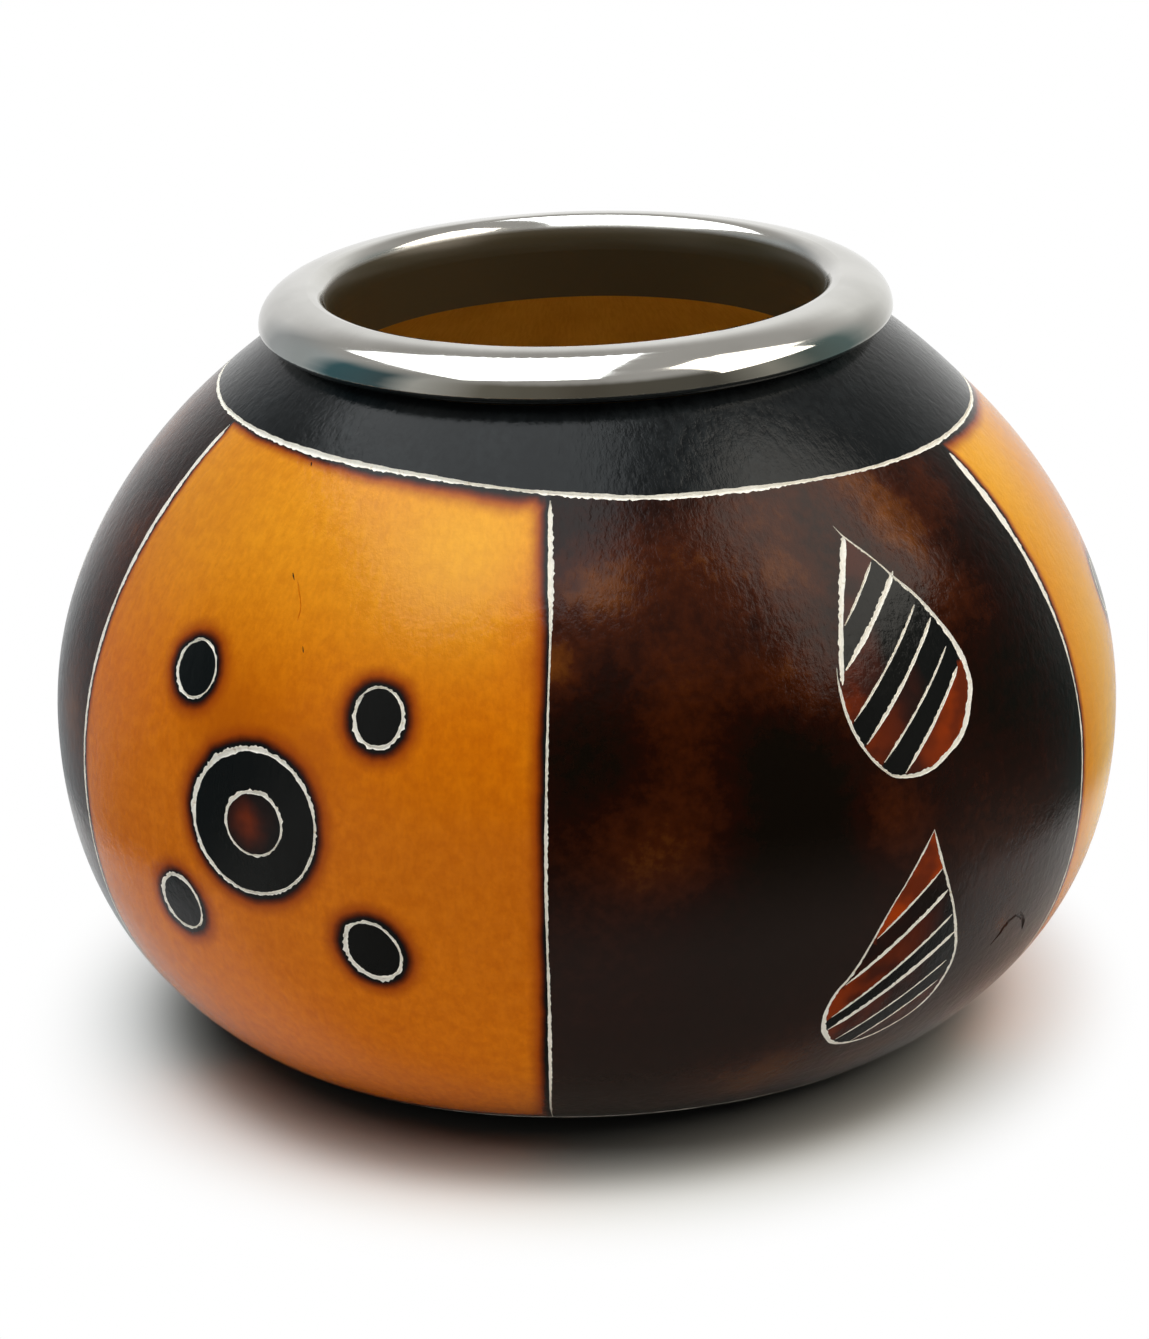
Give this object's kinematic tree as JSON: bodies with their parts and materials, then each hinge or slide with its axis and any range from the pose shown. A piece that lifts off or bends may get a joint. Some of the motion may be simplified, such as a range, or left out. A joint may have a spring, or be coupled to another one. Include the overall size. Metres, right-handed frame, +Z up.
{
  "type": "carved gourd cup",
  "caption": "Round hollow gourd cup with a flat foot, a skin carved with panels, dots and leaves, and a rolled steel rim glued into its cut mouth.",
  "frame": {"origin": "middle of the flat foot, on the surface that the gourd stands on", "axes": "+Z up along the gourd's round axis, -Y towards the picture's viewer, +X to the viewer's right"},
  "size_m": [0.1, 0.1, 0.071],
  "materials": {
    "gourd_skin": "stained and scorched gourd skin, waxed to a satin, with pale carved lines",
    "rim_steel": "spun and polished stainless steel",
    "glue": "set glue, clear amber"
  },
  "bodies": {
    "root": {"gourd_shell": "gourd_skin", "mouth_rim": "rim_steel", "rim_glue": "glue"}
  },
  "joints": []
}
